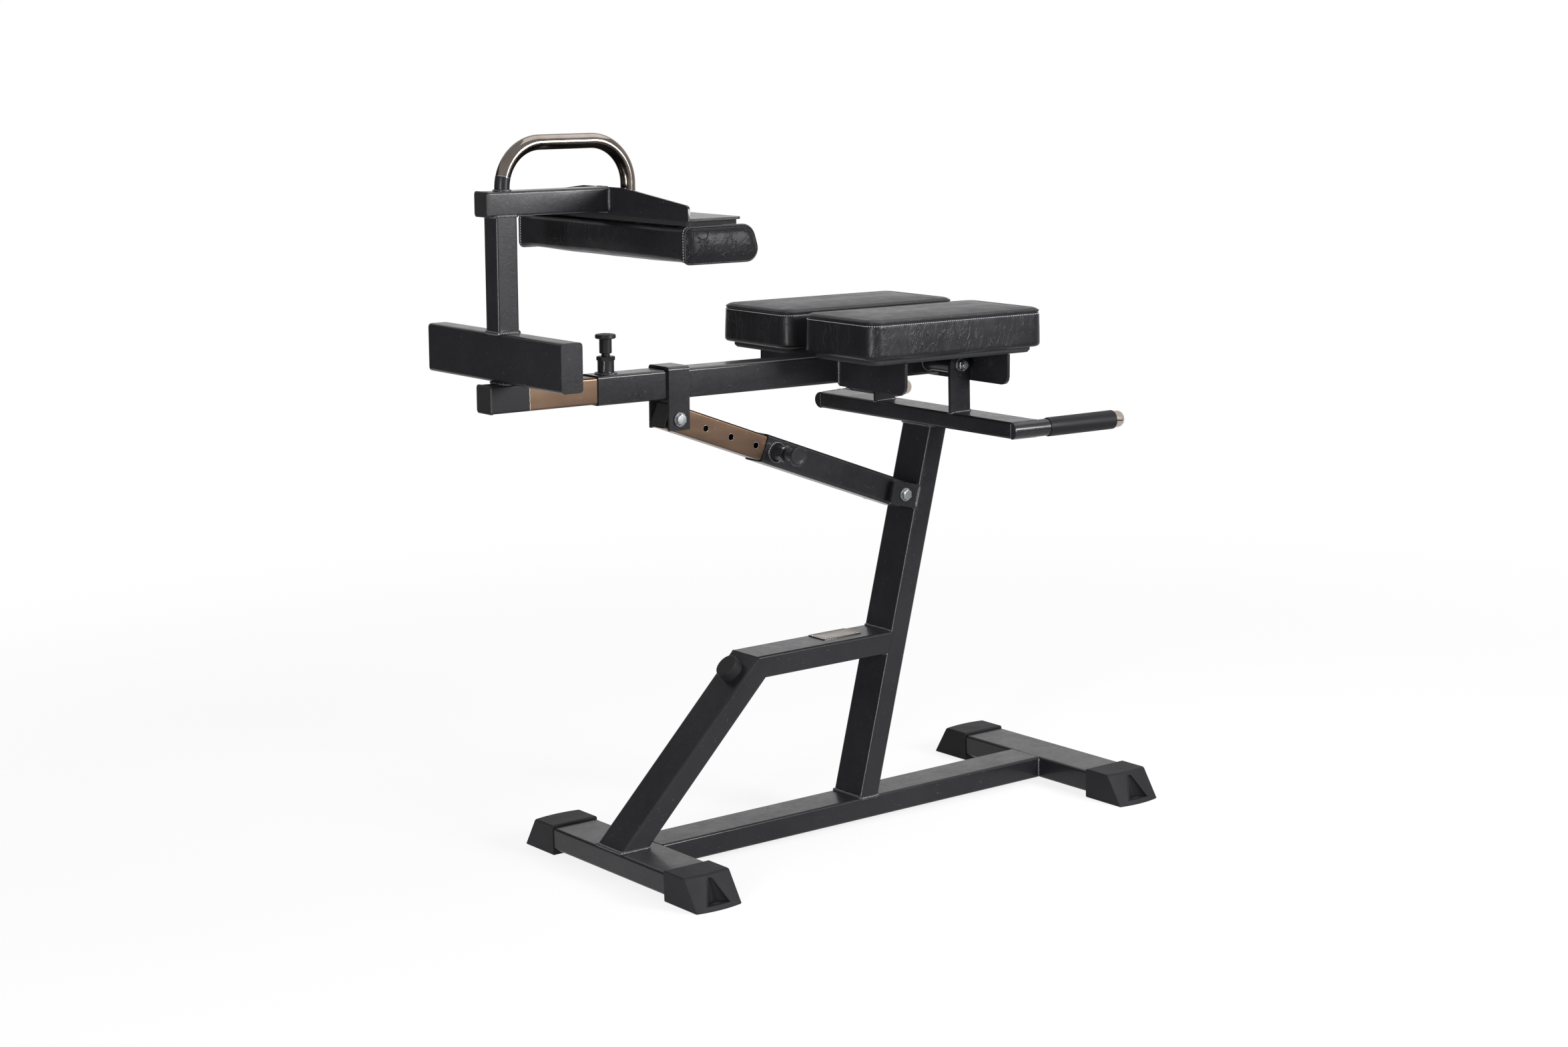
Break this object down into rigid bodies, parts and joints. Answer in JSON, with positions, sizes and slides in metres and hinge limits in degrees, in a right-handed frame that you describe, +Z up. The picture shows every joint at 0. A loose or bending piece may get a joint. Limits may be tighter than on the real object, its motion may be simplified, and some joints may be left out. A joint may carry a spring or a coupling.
{
  "type": "hyperextension bench",
  "caption": "Back extension bench on a tube frame: split hip pads on a tilting telescopic beam, ankle pad, foot plate, grab loop, side handles and a pin-locked strut.",
  "frame": {"origin": "bottom centre of the bounding box, on the floor", "axes": "+X toward the head end and the handle grips, +Y toward the user's left, +Z up"},
  "size_m": [1.2452, 0.626, 1.2673],
  "materials": {
    "painted_frame": "fine-textured satin black powder coat",
    "plated_steel": "bright plating with a warm tint",
    "zinc_steel": "zinc plated",
    "spring_steel": "oiled spring wire",
    "bright_chrome": "polished chrome",
    "foot_rubber": "matte moulded rubber",
    "grip_rubber": "matte grip rubber",
    "knob_plastic": "satin black plastic",
    "cap_plastic": "satin black plastic",
    "pad_board": "board under black lining cloth",
    "pad_vinyl": "black coated upholstery, white stitching under the top edge"
  },
  "bodies": {
    "frame": {"base_tube": "painted_frame", "front_cross_tube": "painted_frame", "rear_cross_tube": "painted_frame", "foot_cap_front_right": "foot_rubber", "foot_cap_front_left": "foot_rubber", "foot_cap_rear_right": "foot_rubber", "foot_cap_rear_left": "foot_rubber", "brace_diagonal": "painted_frame", "brace_level": "painted_frame", "stop_bumper": "foot_rubber", "column": "painted_frame", "handle_crossbar": "painted_frame", "handle_tube_right": "painted_frame", "handle_tube_left": "painted_frame", "grip_right": "grip_rubber", "grip_left": "grip_rubber", "handle_cap_right": "bright_chrome", "handle_cap_left": "bright_chrome", "hip_upright_right": "painted_frame", "hip_upright_left": "painted_frame", "hip_bolt": "zinc_steel", "hip_nut": "zinc_steel", "strut_lug_right": "painted_frame", "strut_lug_left": "painted_frame", "lug_bolt": "zinc_steel", "lug_nut": "zinc_steel"},
    "beam": {"main_beam": "painted_frame", "pivot_tube": "painted_frame", "beam_strap": "painted_frame", "strap_bolt": "zinc_steel", "strap_nut": "zinc_steel", "front_bracket_right": "painted_frame", "front_bracket_left": "painted_frame", "rear_bracket": "painted_frame", "pad_board_right": "pad_board", "pad_board_left": "pad_board", "hip_pad_right": "pad_vinyl", "hip_pad_left": "pad_vinyl", "beam_pin_housing": "painted_frame"},
    "carriage": {"inner_beam": "plated_steel", "inner_beam_cap": "cap_plastic", "foot_plate": "painted_frame", "foot_plate_end_right": "painted_frame", "foot_plate_end_left": "painted_frame", "ankle_post": "painted_frame", "ankle_arm": "painted_frame", "ankle_arm_cap": "cap_plastic", "ankle_flange": "painted_frame", "ankle_board": "pad_board", "ankle_pad": "pad_vinyl", "grab_loop": "plated_steel"},
    "beam_pin": {"beam_pin_plunger": "zinc_steel", "beam_pin_knob": "knob_plastic", "beam_pin_spring": "spring_steel"},
    "strut_rod": {"strut_inner": "plated_steel"},
    "strut_tube": {"strut_sleeve": "painted_frame", "strut_pin_housing": "painted_frame"},
    "strut_pin": {"strut_pin_plunger": "zinc_steel", "strut_pin_knob": "knob_plastic", "strut_pin_spring": "spring_steel"}
  },
  "joints": [
    {"name": "beam_tilt", "type": "hinge", "parent": "frame", "child": "beam", "pos_m": [0.29068, 0, 0.826], "axis": [0, -1, 0], "range_deg": [0, 40.1]},
    {"name": "carriage_slide", "type": "slide", "parent": "beam", "child": "carriage", "axis": [0.9997, 0, -0.0236], "range_m": [-0.09, 0.12]},
    {"name": "beam_pin_pull", "type": "slide", "parent": "beam", "child": "beam_pin", "axis": [0.0236, 0, 0.9997], "range_m": [0, 0.01], "stiffness_N_per_m": 600, "springref_m": -0.004, "deforming": ["beam_pin_spring"]},
    {"name": "strut_swing", "type": "hinge", "parent": "beam", "child": "strut_rod", "pos_m": [-0.26007, 0, 0.77946], "axis": [0, -1, 0], "range_deg": [0, 5.7]},
    {"name": "strut_slide", "type": "slide", "parent": "strut_rod", "child": "strut_tube", "axis": [-0.9314, 0, 0.3639], "range_m": [0, 0.163]},
    {"name": "strut_pin_pull", "type": "slide", "parent": "strut_tube", "child": "strut_pin", "axis": [0, -1, 0], "range_m": [0, 0.01], "stiffness_N_per_m": 600, "springref_m": -0.004, "deforming": ["strut_pin_spring"]}
  ],
  "couplings": [
    {"joint": "strut_swing", "follows": "beam_tilt", "ratio": 0.13971},
    {"joint": "strut_slide", "follows": "beam_tilt", "m_per_rad": 0.23103}
  ]
}
